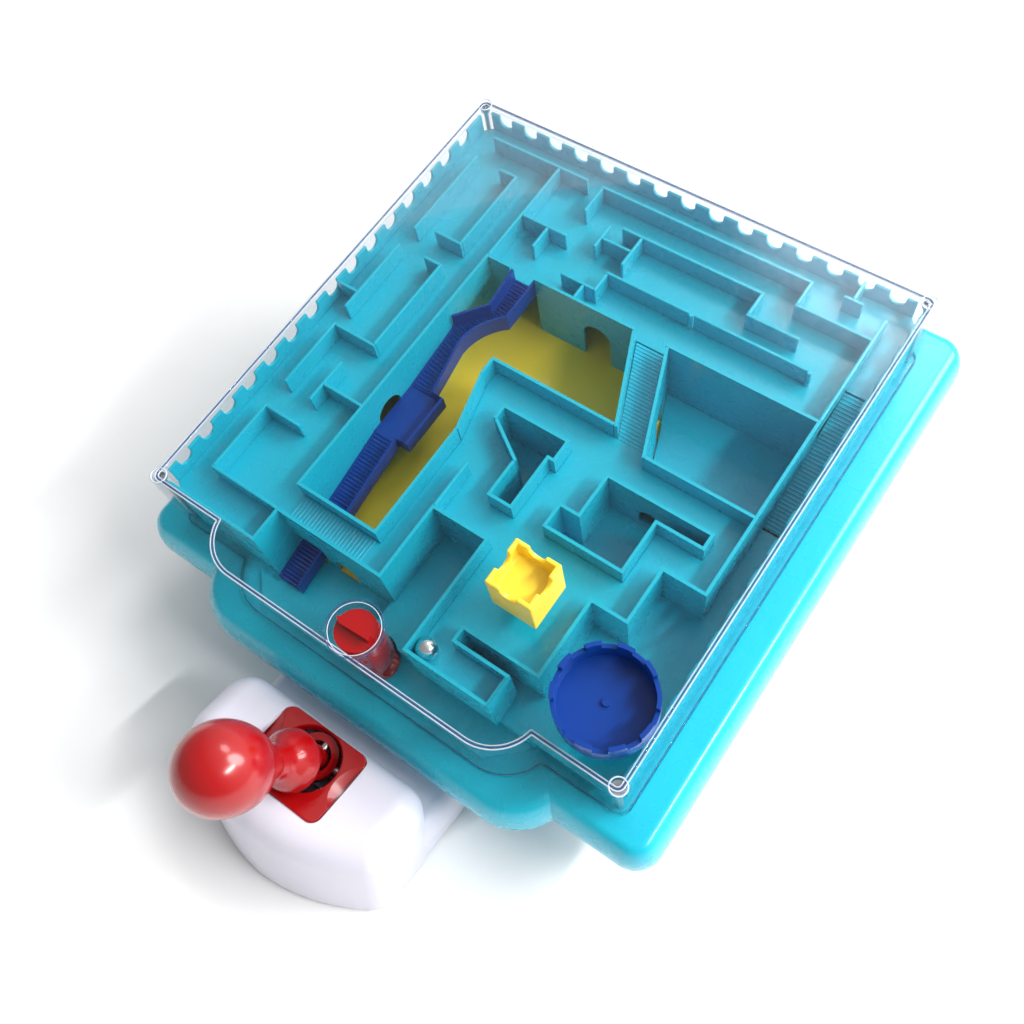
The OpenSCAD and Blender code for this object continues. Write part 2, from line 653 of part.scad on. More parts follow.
// Collar round the opening that the tower and ring stand in
collar_h = 40;
module collar_solid(inset) {
    hull() {
        translate([0, 0, foot_h - 2 - inset]) linear_extrude(1)
            offset(r = 10 - inset, $fn = 32) square(84, center = true);
        translate([0, 0, collar_h - 1]) linear_extrude(1)
            offset(r = 8 - inset, $fn = 32) square(54, center = true);
    }
}
panel_hw = 19;
panel_y0 = -172;
panel_y1 = -141.5;
module panel_outline(grow) {
    offset(r = 4 + grow, $fn = 32) translate([-panel_hw + 4, panel_y0 + 4])
        square([2 * panel_hw - 8, panel_y1 - panel_y0 - 8]);
}
module base_top() color(white) difference() {
    union() {
        console_solid(0, foot_lift);
        foot_solid(0, foot_lift);
        collar_solid(0);
    }
    console_solid(2.2, -1);
    foot_solid(2.2, -1);
    collar_solid(2.2);
    slab(-30, -30, 30, 30, 10, 60);
    // inside of the console opens into the foot
    slab(-36, -160, 36, -120, -1, foot_h - 2.2);
    translate([0, 0, 40]) linear_extrude(20) panel_outline(0);
}
// Screw posts that hang from the roof of the base
module base_posts() color(white) for (p = base_screw_xy) translate([p.x, p.y, 0]) difference() {
    translate([0, 0, foot_lift + base_t + 2 * seam])
        cylinder(r = 3.6, h = foot_h - 2.35 - (p.y < -100 ? shoulder + 0.2 : 0) - foot_lift - base_t);
    cylinder(r = 1.52, h = 14);
}
module base_bottom() color(white) difference() {
    translate([0, 0, foot_lift + seam]) linear_extrude(base_t) {
        offset(r = 5, $fn = 24) square([2 * (foot_hw - 8), 136], center = true);
        console_outline(8);
    }
    for (p = base_screw_xy) translate([p.x, p.y, 0]) cylinder(r = 1.7, h = 10);
    for (p = foot_xy) translate([p.x, p.y, 0]) cylinder(r = 3.05, h = 5);
    for (sx = [-1, 1]) for (sy = [-1, 1]) translate([sx * 36, sy * 7.5, 0])
        cylinder(r = 1.42, h = 10);
}
foot_xy = [[-62, -60], [62, -60], [62, 60], [-62, 60], [-30, -166], [30, -166], [0, 0]];
module base_feet() color("#303438") for (p = foot_xy) translate([p.x, p.y, 0]) {
    cylinder(r = 7, h = foot_lift);
    cylinder(r = 3, h = 2.9);
}
base_screw_xy = [[-64, -34], [64, -34], [64, 34], [-64, 34], [-34.8, -124], [34.8, -124]];
module base_screws() color(steel) for (p = base_screw_xy) translate([p.x, p.y, foot_lift])
    mirror([0, 0, 1]) pan_screw(10, 1.5);

// ---- joystick panel, yoke and ring ----
panel_top = 46.6;
panel_z = 43.2;
hole_r = 12.6;
hole_y = -154.8;
module stick_panel() color(red) difference() {
    union() {
        translate([0, 0, panel_z]) linear_extrude(panel_top - panel_z) panel_outline(-0.2);
        // hidden flange, cut short where the console's front and back walls are
        translate([0, 0, panel_z]) linear_extrude(1.8) intersection() {
            panel_outline(1.8);
            translate([-30, panel_y0 - 0.9]) square([60, panel_y1 - panel_y0 + 1.4]);
        }
    }
    translate([0, hole_y, 30]) cylinder(r = hole_r, h = 30);
    // scooped facets beside the hole
    for (sx = [-1, 1]) translate([sx * 26.5, hole_y, panel_top + 22.8]) sphere(r = 26);
    for (sx = [-1, 1]) translate([sx * 16.4, -143.7, 30]) cylinder(r = 0.92, h = 14.4);
}
module panel_screws() color(steel) for (sx = [-1, 1])
    translate([sx * 16.4, -143.7, panel_z - 2.05]) mirror([0, 0, 1]) pan_screw(3, 0.9);
yoke_x0 = 11.5;
yoke_x1 = 15.5;
ear_r = 4.4;
module stick_yoke() color(red) difference() {
    union() {
        slab(-18.4, -168, 18.4, -141.8, panel_z - 2.02, panel_z - seam);
        for (side = [-1, 1]) {
            x0 = side > 0 ? yoke_x0 : -yoke_x1;
            slab(x0, -stick_reach - ear_r, x0 + 4, -stick_reach + ear_r, stick_h, panel_z - 1);
            translate([x0, -stick_reach, stick_h]) rotate([0, 90, 0]) cylinder(r = ear_r, h = 4);
        }
    }
    translate([0, hole_y, 40.5]) cylinder(r = hole_r - 0.1, h = 20);
    translate([-20, -stick_reach, stick_h]) rotate([0, 90, 0]) cylinder(r = 1.5 + run_gap, h = 40);
    for (sx = [-1, 1]) translate([sx * 16.4, -143.7, 30]) cylinder(r = 1, h = 20);
    slab(-9.5, -150, 9.5, -141, 40.5, 50);
}
module stick_ring() color(red) at_stick_pivot() gimbal_ring(8.6, 5.8, 4.4, 1.51);
module stick_pitch_pins() color(steel) at_stick_pivot() for (side = [0, 180])
    rotate([0, 0, side]) translate([6.1, 0, 0]) rotate([0, 90, 0]) cylinder(r = 1.5, h = 9.2);
module stick_roll_pin() color(steel) at_stick_pivot()
    translate([0, 8.5, 0]) rotate([90, 0, 0]) cylinder(r = 1.5, h = 17);
knob_s = 63.5;
knob_r = 15;
shaft_end = knob_s - 12;
module stick_shaft() color(red) difference() {
    union() {
        at_stick_pivot() translate([0, 0, -5]) cylinder(r = 4, h = 9);
        along_stick() translate([0, 0, 2]) cylinder(r = 3, h = shaft_end - 2);
        along_stick() translate([0, 0, 6]) cylinder(r = 5, h = 13.1);
        at_stick_pivot() translate([0, 0, -tail_r]) cylinder(r = 1.8, h = tail_r - 4);
        at_stick_pivot() translate([0, 0, -tail_r]) sphere(r = 2.8);
    }
    at_stick_pivot() translate([0, 20, 0]) rotate([90, 0, 0]) cylinder(r = 1.5 + run_gap, h = 40);
}
module stick_collar() color(red) along_stick() difference() {
    rotate_extrude($fn = 64) polygon([[0, 19.2], [11, 19.2], [11, 20.4], [10.6, 22.4],
        [9.2, 25.6], [6.8, 28.6], [6, 31], [6, 35], [0, 35]]);
    translate([0, 0, 10]) cylinder(r = 3.02, h = 30);
}
module stick_knob() color(red) along_stick() difference() {
    rotate_extrude($fn = 64) polygon(concat([[0, 35.1], [6, 35.1], [6.6, 38]],
        [for (a = [-50:10:90]) [knob_r * cos(a), knob_s + (a < 0 ? 21 : 16.5) * sin(a)]]));
    translate([0, 0, 25]) cylinder(r = 3.02, h = shaft_end - 25 + 0.1);
}

// ---- cross slide that links the stick's tail to the board's tail ----
slide_y = -72;
module slide_rails() color(grey) for (side = [-1, 1]) difference() {
    x0 = side > 0 ? 31 : -36;
    slab(x0, slide_y - 30, x0 + 5, slide_y + 30, foot_lift + base_t + 2 * seam, 12);
    // groove that the carriage's edge runs in
    slab(side > 0 ? 30 : -34, slide_y - 31, side > 0 ? 34 : -30, slide_y + 31, 6.9, 10.1);
}
module slide_carriage() color(white) translate([0, slide_y + plate_shift, 0]) difference() {
    slab(-33.6, -12, 33.6, 12, 7, 10);
    slab(-26, -3.1, 26, 3.1, 5, 12);
}
module control_plate() color(white) translate([0, plate_shift, 0]) difference() {
    union() {
        slab(-7, -stick_reach - 8, 7, 8, plate_z, plate_z + plate_t);
        slab(-9, slide_y - 3, 9, slide_y + 3, 7.2, plate_z + 1);
        // post that reaches up to the board's short tail
        slab(-7, -8, 7, 8, plate_z, 39.5);
    }
    translate([0, 0, 31]) cylinder(r = 3.5, h = 30);
    translate([0, -stick_reach, 0]) cylinder(r = 4.1, h = 30);
}

clear_lid();
lid_screws();
maze_deck();
deck_walls();
pit_walls();
battlement();
front_bridge();
middle_bridge();
side_ramp();
lower_floor();
tray_floor();
pit_floor();
front_floor();
twist_track();
square_turret();
round_tower();
lower_shell();
shell_screws();
drum_spindle();
loading_drum();
drum_washer();
steel_ball();
pivot_bracket();
bracket_screws();
board_tail();
board_ring();
board_pitch_pins();
board_roll_pins();
pivot_tower();
tower_screws();
base_top();
base_bottom();
base_feet();
base_posts();
base_screws();
stick_panel();
panel_screws();
stick_yoke();
stick_ring();
stick_pitch_pins();
stick_roll_pin();
stick_shaft();
stick_collar();
stick_knob();
slide_rails();
slide_carriage();
control_plate();
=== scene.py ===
"""Tilt maze game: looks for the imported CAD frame.
Lengths are in millimetres until mm() turns them into metres."""
import json
import math

import bmesh
import bpy
from mathutils import Matrix, Vector


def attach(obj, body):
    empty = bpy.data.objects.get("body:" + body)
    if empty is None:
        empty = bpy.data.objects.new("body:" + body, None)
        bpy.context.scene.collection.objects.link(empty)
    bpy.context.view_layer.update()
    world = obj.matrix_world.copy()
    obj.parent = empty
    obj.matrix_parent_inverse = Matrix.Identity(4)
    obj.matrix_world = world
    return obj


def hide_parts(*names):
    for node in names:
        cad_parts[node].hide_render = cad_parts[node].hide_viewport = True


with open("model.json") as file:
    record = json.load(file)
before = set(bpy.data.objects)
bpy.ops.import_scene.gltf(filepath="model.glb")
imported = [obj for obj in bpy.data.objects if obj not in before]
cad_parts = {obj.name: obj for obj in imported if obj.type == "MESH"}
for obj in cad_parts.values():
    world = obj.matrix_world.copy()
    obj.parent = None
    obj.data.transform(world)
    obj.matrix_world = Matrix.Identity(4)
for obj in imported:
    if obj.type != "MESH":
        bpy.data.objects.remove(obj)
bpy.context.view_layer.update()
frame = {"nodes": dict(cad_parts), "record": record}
nodes = frame["nodes"]


def mm(value):
    return value / 1000.0


# ---- driving dimensions, as in the CAD design ----
TILT = math.radians(16)
PIVOT_H = 58
PIVOT_DROP = 66
STICK_PIVOT = (0, -150, 38.5)
STICK_LEAN = math.radians(33)
LID_W, LID_L, LID_WALL, LID_BOTTOM = 204, 210.6, 1.5, -37
LID_CORNER = 3
LID_BAY_HW, LID_BAY_FRONT, LID_BAY_BACK, LID_BAY_CORNER = 69.5, -119, -60, 18
SHELL_BOTTOM = -60
RIM_R = 11
RIM_HW, RIM_FRONT, RIM_BACK = 119.5, -119, 124
RIM_BAY_HW, RIM_BAY_FRONT, RIM_BAY_BACK = 83.5, -133, -90
KNOB_R, KNOB_S = 15, 63.5
CONSOLE_HW, CONSOLE_H = 45.5, 47.5
FOOT_HW, FOOT_H, COLLAR_H, FOOT_LIFT = 76, 24, 40, 1.5
SHELL_WALL = 2.2
PANEL_HW, PANEL_FRONT, PANEL_BACK, PANEL_TOP = 15, -168, -145.5, 46.6
HOLE_Y = -154.8
POST_R, SCREW_HEAD_R = 3.4, 2.6
COLLAR_R, COLLAR_HOLE_R = 10.4, 9.2
CLIP_X, CLIP_Y, CLIP_R = 9.5, -116.6, 1.8

# Board frame: origin in the middle of the lid's top face
BOARD = (Matrix.Translation((0, 0, mm(PIVOT_H))) @ Matrix.Rotation(TILT, 4, "X")
         @ Matrix.Translation((0, 0, mm(PIVOT_DROP))))
STICK = Matrix.Translation([mm(v) for v in STICK_PIVOT]) @ Matrix.Rotation(STICK_LEAN, 4, "X")
WORLD = Matrix.Identity(4)


# ---- materials ----
GRAIN_DEPTH = 0.00002
SCRATCHES = 500


def node_tree(name):
    mat = bpy.data.materials.new(name)
    mat.use_nodes = True
    return mat, mat.node_tree.nodes, mat.node_tree.links


def noise(tree_nodes, links, scale, detail):
    coords = tree_nodes.new("ShaderNodeTexCoord")
    tex = tree_nodes.new("ShaderNodeTexNoise")
    tex.inputs["Scale"].default_value = scale
    tex.inputs["Detail"].default_value = detail
    links.new(coords.outputs["Object"], tex.inputs["Vector"])
    return tex.outputs["Fac"]


def ramp(tree_nodes, links, source, low, high):
    """Maps a noise value to a narrow range, so that it stays subtle."""
    node = tree_nodes.new("ShaderNodeMapRange")
    node.inputs["From Min"].default_value = 0.3
    node.inputs["From Max"].default_value = 0.7
    node.inputs["To Min"].default_value = low
    node.inputs["To Max"].default_value = high
    links.new(source, node.inputs["Value"])
    return node.outputs["Result"]


def tint(tree_nodes, links, source, dark, light):
    node = tree_nodes.new("ShaderNodeValToRGB")
    node.color_ramp.elements[0].position = 0.3
    node.color_ramp.elements[1].position = 0.7
    node.color_ramp.elements[0].color = (*dark, 1)
    node.color_ramp.elements[1].color = (*light, 1)
    links.new(source, node.inputs["Fac"])
    return node.outputs["Color"]


def moulded(name, colour, rough=0.3, vary=0.025, grain=900, **sockets):
    """Moulded plastic: slow colour flow, uneven gloss and a fine grain."""
    mat, tree_nodes, links = node_tree(name)
    bsdf = tree_nodes["Principled BSDF"]
    flow = noise(tree_nodes, links, 28, 4)
    dark = [c * (1 - vary) for c in colour]
    light = [min(1, c * (1 + vary)) for c in colour]
    links.new(tint(tree_nodes, links, flow, dark, light), bsdf.inputs["Base Color"])
    gloss = noise(tree_nodes, links, 140, 5)
    links.new(ramp(tree_nodes, links, gloss, rough - 0.02, rough + 0.04), bsdf.inputs["Roughness"])
    bump = tree_nodes.new("ShaderNodeBump")
    bump.inputs["Strength"].default_value = 0.1
    bump.inputs["Distance"].default_value = GRAIN_DEPTH
    links.new(noise(tree_nodes, links, grain, 4), bump.inputs["Height"])
    links.new(bump.outputs["Normal"], bsdf.inputs["Normal"])
    for socket, value in sockets.items():
        bsdf.inputs[socket.replace("_", " ")].default_value = value
    return mat


def clear_plastic(name, colour, low, high, rough=0.05, metallic=0.0):
    """Clear styrene: its alpha follows Fresnel, so it is nearly unseen face on and shows at a
    slant. With metallic at 1 it only reflects, with no milky body."""
    mat, tree_nodes, links = node_tree(name)
    bsdf = tree_nodes["Principled BSDF"]
    haze = noise(tree_nodes, links, 20, 5)
    links.new(tint(tree_nodes, links, haze, [c * 0.95 for c in colour], colour),
              bsdf.inputs["Base Color"])
    scuff = noise(tree_nodes, links, 260, 6)
    links.new(ramp(tree_nodes, links, scuff, rough, rough + 0.03), bsdf.inputs["Roughness"])
    slant = tree_nodes.new("ShaderNodeLayerWeight")
    slant.inputs["Blend"].default_value = 0.33
    alpha = tree_nodes.new("ShaderNodeMapRange")
    alpha.inputs["To Min"].default_value = low
    alpha.inputs["To Max"].default_value = high
    links.new(slant.outputs["Fresnel"], alpha.inputs["Value"])
    links.new(alpha.outputs["Result"], bsdf.inputs["Alpha"])
    bsdf.inputs["Metallic"].default_value = metallic
    return mat


def metal(name, colour, rough):
    mat, tree_nodes, links = node_tree(name)
    bsdf = tree_nodes["Principled BSDF"]
    bsdf.inputs["Metallic"].default_value = 1.0
    cloud = noise(tree_nodes, links, 200, 4)
    links.new(tint(tree_nodes, links, cloud, [c * 0.85 for c in colour], colour),
              bsdf.inputs["Base Color"])
    fine = noise(tree_nodes, links, SCRATCHES, 6)
    links.new(ramp(tree_nodes, links, fine, rough, rough + 0.1), bsdf.inputs["Roughness"])
    return mat


TEAL = (0.005, 0.43, 0.57)
PAINT = {
    "teal_plastic": moulded("teal_plastic", TEAL, 0.27, Coat_Weight=0.15, Coat_Roughness=0.12),
    "clear_plastic": clear_plastic("clear_plastic", (0.86, 0.93, 1.0), 0.0, 0.28, rough=0.16,
                                   metallic=1.0),
    "yellow_plastic": moulded("yellow_plastic", (0.92, 0.68, 0.05), 0.35),
    "blue_plastic": moulded("blue_plastic", (0.002, 0.04, 0.25), 0.3, Specular_IOR_Level=0.35),
    "red_plastic": moulded("red_plastic", (0.34, 0.002, 0.003), 0.2, Coat_Weight=0.25,
                           Coat_Roughness=0.08),
    "white_plastic": moulded("white_plastic", (0.68, 0.67, 0.76), 0.3, vary=0.02),
    "grey_plastic": moulded("grey_plastic", (0.25, 0.27, 0.29), 0.5),
    "ball_steel": metal("ball_steel", (0.78, 0.79, 0.80), 0.06),
    "screw_steel": metal("screw_steel", (0.62, 0.63, 0.65), 0.28),
    "foot_rubber": moulded("foot_rubber", (0.03, 0.03, 0.033), 0.75),
}
# Painted highlights and painted shade: bright and dark lines along the edges of the lid, its foot,
# collar and posts, standing for the light that the clear plastic catches at its edges
LID_PAINTED_SHADE = clear_plastic("lid_painted_shade", (0.05, 0.12, 0.30), 0.6, 0.8)
LID_PAINTED_HIGHLIGHT = clear_plastic("lid_painted_highlight", (0.80, 0.86, 0.95), 0.75, 0.95)


def paint(obj, slot):
    obj.data.materials.clear()
    obj.data.materials.append(PAINT[slot])
    return obj


# ---- CAD nodes: welded, edges rounded, finish from the record's slots ----
WELD_DISTANCE = 0.000005


def round_edges(obj, width):
    weld = obj.modifiers.new("weld", "WELD")
    weld.merge_threshold = WELD_DISTANCE
    flat = obj.modifiers.new("flat", "DECIMATE")
    flat.decimate_type = "DISSOLVE"
    flat.angle_limit = math.radians(0.5)
    bevel = obj.modifiers.new("round", "BEVEL")
    bevel.width = mm(width)
    bevel.segments = 2
    bevel.limit_method = "ANGLE"
    bevel.angle_limit = math.radians(35)
    bevel.use_clamp_overlap = True
    bevel.harden_normals = False


EDGE_WIDTH = {"deck_walls": 0.3, "pit_walls": 0.3, "battlement": 0.3, "square_turret": 0.5,
              "round_tower": 0.35, "maze_deck": 0.2, "lower_floor": 0.2, "loading_drum": 0.3,
              "stick_panel": 0.6, "control_plate": 0.5, "pivot_tower": 0.5, "pivot_bracket": 0.4,
              "stick_collar": 0.35, "stick_yoke": 0.3, "slide_rails": 0.3}
for entry in frame["record"]["subparts"]:
    cad_node = nodes[entry["node"]]
    paint(cad_node, entry["material_slot"])
    if entry["node"] in EDGE_WIDTH:
        round_edges(cad_node, EDGE_WIDTH[entry["node"]])


# ---- smooth shells: lofts of rounded outlines ----
# Faces larger than this stay flat; the others are shaded smooth
FLAT_AREA = mm(1) * mm(200)


def new_object(name, shape):
    """An object in the scene from a bmesh, which is used up."""
    mesh = bpy.data.meshes.new(name)
    shape.to_mesh(mesh)
    shape.free()
    obj = bpy.data.objects.new(name, mesh)
    bpy.context.scene.collection.objects.link(obj)
    return obj


def ring(centres, radius, count=160):
    """Outline of the rounded hull round some centres, as its outermost point in each direction."""
    points = []
    for k in range(count):
        angle = 2 * math.pi * k / count
        way = Vector((math.cos(angle), math.sin(angle)))
        outer = max(centres, key=lambda c: way.x * c[0] + way.y * c[1])
        points.append((outer[0] + radius * way.x, outer[1] + radius * way.y))
    return points


def solid(name, centres, profile, place=WORLD):
    """A closed solid that passes through rings of (radius, height), lowest first.
    Further values move the centres in: one for both directions, or one for x and one for y."""
    shape = bmesh.new()
    levels = []
    for radius, z, *inwards in profile:
        moved = centres
        if inwards:
            moved = [(x - math.copysign(inwards[0], x), y - math.copysign(inwards[-1], y))
                     for x, y in centres]
        levels.append([shape.verts.new((mm(x), mm(y), mm(z))) for x, y in ring(moved, radius)])
    count = len(levels[0])
    for low, high in zip(levels, levels[1:]):
        for i in range(count):
            j = (i + 1) % count
            shape.faces.new((low[i], low[j], high[j], high[i]))
    shape.faces.new(list(reversed(levels[0])))
    shape.faces.new(levels[-1])
    bmesh.ops.remove_doubles(shape, verts=shape.verts, dist=1e-6)
    bmesh.ops.recalc_face_normals(shape, faces=shape.faces)
    shape.transform(place)
    return new_object(name, shape)


def combine(base, tool, operation):
    """Boolean of two solids, applied; the tool is used up."""
    step = base.modifiers.new("step", "BOOLEAN")
    step.operation = operation
    step.solver = "EXACT"
    step.object = tool
    graph = bpy.context.evaluated_depsgraph_get()
    result = bpy.data.meshes.new_from_object(base.evaluated_get(graph))
    base.modifiers.clear()
    old = base.data
    base.data = result
    bpy.data.meshes.remove(old)
    bpy.data.objects.remove(tool)
    return base


def tidy_mesh(obj):
    """Merges the tiny slivers that booleans leave, so that the shading stays even."""
    shape = bmesh.new()
    shape.from_mesh(obj.data)
    bmesh.ops.remove_doubles(shape, verts=shape.verts, dist=mm(0.02))
    bmesh.ops.dissolve_degenerate(shape, edges=shape.edges, dist=mm(0.01))
    shape.to_mesh(obj.data)
    shape.free()


def smooth(obj, angle=35):
    tidy_mesh(obj)
    for face in obj.data.polygons:
        face.use_smooth = face.area < FLAT_AREA
    obj.data.set_sharp_from_angle(angle=math.radians(angle))
    normals = obj.modifiers.new("normals", "WEIGHTED_NORMAL")
    normals.keep_sharp = True
    return obj


def corners(x, y0, y1):
    return [(-x, y0), (x, y0), (x, y1), (-x, y1)]


def quarter(radius, inset, top):
    """Rings that round a top edge: outer radius, how far the round reaches in, and its top height."""
    count = 10
    rings = []
    for k in range(count + 1):
        a = math.pi / 2 * k / count
        rings.append((radius - inset * (1 - math.cos(a)), top - inset * (1 - math.sin(a))))
    return rings


# Lower shell: a fat round bumper, its bay towards the player, and the lid's seat
def rim_profile(grow=0.0):
    """Section of the bumper from its open underside up to the land that the lid sits on."""
    low, top = SHELL_BOTTOM + 0.3, LID_BOTTOM
    height = top - low
    rings = [(RIM_R - 2.6, low), (RIM_R - 1.6, low + 0.4), (RIM_R - 0.8, low + 2)]
    for k in range(17):
        a = math.pi / 2 * k / 16
        rings.append((RIM_R * (0.35 + 0.65 * math.cos(a) ** 0.9),
                      low + height * (0.38 + 0.62 * math.sin(a))))
    return [(r + grow, z) for r, z in rings]


RIM_MAIN = corners(RIM_HW - RIM_R, RIM_FRONT + RIM_R, RIM_BACK - RIM_R)
# The bay's corners are rounder: their centres lie further in
BAY_IN = 12


def bay_rings(profile):
    return [(r + BAY_IN, z) for r, z in profile]


RIM_BAY = corners(RIM_BAY_HW - RIM_R - BAY_IN, RIM_BAY_FRONT + RIM_R + BAY_IN, RIM_BAY_BACK)
LID_MAIN = corners(LID_W / 2 - LID_CORNER, -LID_L / 2 + LID_CORNER, LID_L / 2 - LID_CORNER)
LID_BAY = corners(LID_BAY_HW - LID_BAY_CORNER, LID_BAY_FRONT + LID_BAY_CORNER, LID_BAY_BACK)


def lid_prism(name, grow, z0, z1):
    """A block with the lid's outline, grown by so much, between two heights."""
    radius, bay_radius = LID_CORNER + grow, LID_BAY_CORNER + grow
    main = solid(name, LID_MAIN, [(radius, z0), (radius, z1)], BOARD)
    bay = solid(name + "_bay", LID_BAY, [(bay_radius, z0), (bay_radius, z1)], BOARD)
    return combine(main, bay, "UNION")


def make_lower_shell():
    shell = solid("bumper_shell", RIM_MAIN, rim_profile(), BOARD)
    combine(shell, solid("bay_tool", RIM_BAY, bay_rings(rim_profile()), BOARD), "UNION")
    under = [(RIM_R - 4.6, SHELL_BOTTOM - 2), (RIM_R - 4.6, -48), (RIM_R - 6.5, -43),
             (RIM_R - 9, -40.2)]
    combine(shell, solid("hollow", RIM_MAIN, under, BOARD), "DIFFERENCE")
    combine(shell, solid("bay_hollow", RIM_BAY, bay_rings(under), BOARD), "DIFFERENCE")
    combine(shell, lid_prism("seat", 1.7, -37.55, -30), "DIFFERENCE")
    groove = lid_prism("groove", 3.5, LID_BOTTOM - 0.7, -30)
    combine(groove, lid_prism("groove_inner", 2.6, LID_BOTTOM - 2, -29), "DIFFERENCE")
    combine(shell, groove, "DIFFERENCE")
    smooth(shell)
    paint(shell, "teal_plastic")
    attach(shell, "board")
    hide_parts("lower_shell")


# Clear lid: one deep box with a bay, screw posts, the drum's collar, two clips and a nub
POSTS = [(sx * (LID_W / 2 - 2), sy * (LID_L / 2 - 2)) for sx in (-1, 1) for sy in (-1, 1)]
DRUM = (0, -109.3)


def column(name, centre, radius, z0, z1):
    return solid(name, [centre], [(radius, z0), (radius, z1)], BOARD)


def lid_outline(grow):
    """Outline of the lid with its bay, in order."""
    front = -LID_L / 2 - grow
    side = LID_BAY_HW + grow
    bay = [p for p in ring(LID_BAY, LID_BAY_CORNER + grow) if p[1] < front - 0.01]
    main = ring(LID_MAIN, LID_CORNER + grow)
    # The ring runs anticlockwise from +x, so the front edge lies three quarters of the way round
    cut = len(main) * 3 // 4 + 1
    return main[:cut] + [(-side, front)] + bay + [(side, front)] + main[cut:]


def edge_line(name, points, z, radius, material):
    """An edge of the lid as light catches it: a fine round line of painted light, bright or dark by
    its material.
    """
    curve = bpy.data.curves.new(name, "CURVE")
    curve.dimensions = "3D"
    curve.bevel_depth = mm(radius)
    curve.bevel_resolution = 3
    spline = curve.splines.new("POLY")
    spline.points.add(len(points) - 1)
    for point, (x, y) in zip(spline.points, points):
        point.co = (*(BOARD @ Vector((mm(x), mm(y), mm(z)))), 1)
    spline.use_cyclic_u = True
    curve.materials.append(material)
    line = bpy.data.objects.new(name, curve)
    bpy.context.scene.collection.objects.link(line)
    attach(line, "board")


def make_lid():
    lid = lid_prism("lid_box", 0, LID_BOTTOM, -0.02)
    combine(lid, lid_prism("foot_rim", 1.5, LID_BOTTOM, LID_BOTTOM + 2), "UNION")
    combine(lid, lid_prism("inside", -LID_WALL, LID_BOTTOM - 1, -LID_WALL), "DIFFERENCE")
    for centre in POSTS:
        combine(lid, column("post", centre, POST_R, LID_BOTTOM, -0.03), "UNION")
    combine(lid, column("collar", DRUM, COLLAR_R, -6, 2), "UNION")
    for side in (-1, 1):
        combine(lid, column("clip", (side * CLIP_X, CLIP_Y), CLIP_R, -12, 2), "UNION")
    dome = [(2.6, -1), (2.6, 0.2), (2.3, 0.6), (1.5, 0.85), (0.4, 0.9)]
    combine(lid, solid("nub", [(0, 2)], dome, BOARD), "UNION")
    combine(lid, column("collar_hole", DRUM, COLLAR_HOLE_R, -8, 4), "DIFFERENCE")
    for centre in POSTS:
        combine(lid, column("head_hole", centre, SCREW_HEAD_R, -3, 1), "DIFFERENCE")
    smooth(lid, 30)
    paint(lid, "clear_plastic")
    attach(lid, "board")
    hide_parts("clear_lid")
    # Painted highlights as bright lines and painted shade as dark lines along the lid's edges, the
    # collar and the posts
    edge_line("lid_outer_edge", lid_outline(-0.25), -0.3, 0.24, LID_PAINTED_HIGHLIGHT)
    edge_line("lid_middle_edge", lid_outline(-0.85), -0.35, 0.3, LID_PAINTED_SHADE)
    edge_line("lid_inner_edge", lid_outline(-LID_WALL), -0.3, 0.2, LID_PAINTED_HIGHLIGHT)
    edge_line("lid_foot_edge", lid_outline(1.2), LID_BOTTOM + 1.8, 0.18, LID_PAINTED_SHADE)
    edge_line("collar_outer_edge", ring([DRUM], 10.3, 64), 1.9, 0.18, LID_PAINTED_SHADE)
    edge_line("collar_inner_edge", ring([DRUM], 9.3, 64), 1.9, 0.15, LID_PAINTED_HIGHLIGHT)
    for i, centre in enumerate(POSTS):
        edge_line(f"post_edge_{i}", ring([centre], 3.0, 32), -0.3, 0.3, LID_PAINTED_HIGHLIGHT)


# Shared by the base's opening and the plate in it
PANEL = corners(PANEL_HW, PANEL_FRONT, PANEL_BACK)


# Base: console with a bowed front, wide foot and pedestal collar, hollow inside
def bow(x):
    """Middle of the console's rounding along its bowed front."""
    return (x * (CONSOLE_HW - 11) / 36, -186 + 70 - math.sqrt(70 * 70 - x * x) + 11 + abs(x) / 22)


CONSOLE = [bow(x * 1.5) for x in range(-24, 25)]
CONSOLE += [(CONSOLE_HW - 11, -149.6), (-CONSOLE_HW + 11, -149.6)]
FOOT = corners(FOOT_HW - 8, -68, 68)
NECK = corners(CONSOLE_HW - 8, -148, 0)
SHOULDER, RIDGE = 4.5, 23.5


def shell_rings(radius, inset, top, wall=0.0, flare=0.6):
    """Section of a housing with a rounded top edge; with a wall, that of the hollow inside it."""
    lower = FOOT_LIFT if wall == 0 else FOOT_LIFT - 3
    rings = [(radius + flare - wall - 0.5, lower), (radius + flare - wall, lower + 0.5)]
    return rings + quarter(radius - wall, inset - wall, top - wall)


def neck_rings(wall=0.0):
    """The neck's sides end low; its top slopes up to a ridge in the middle."""
    rings = shell_rings(8, 7.8, FOOT_H - SHOULDER, wall, flare=0)
    return rings + [(0.2, FOOT_H - wall, RIDGE, 0)]


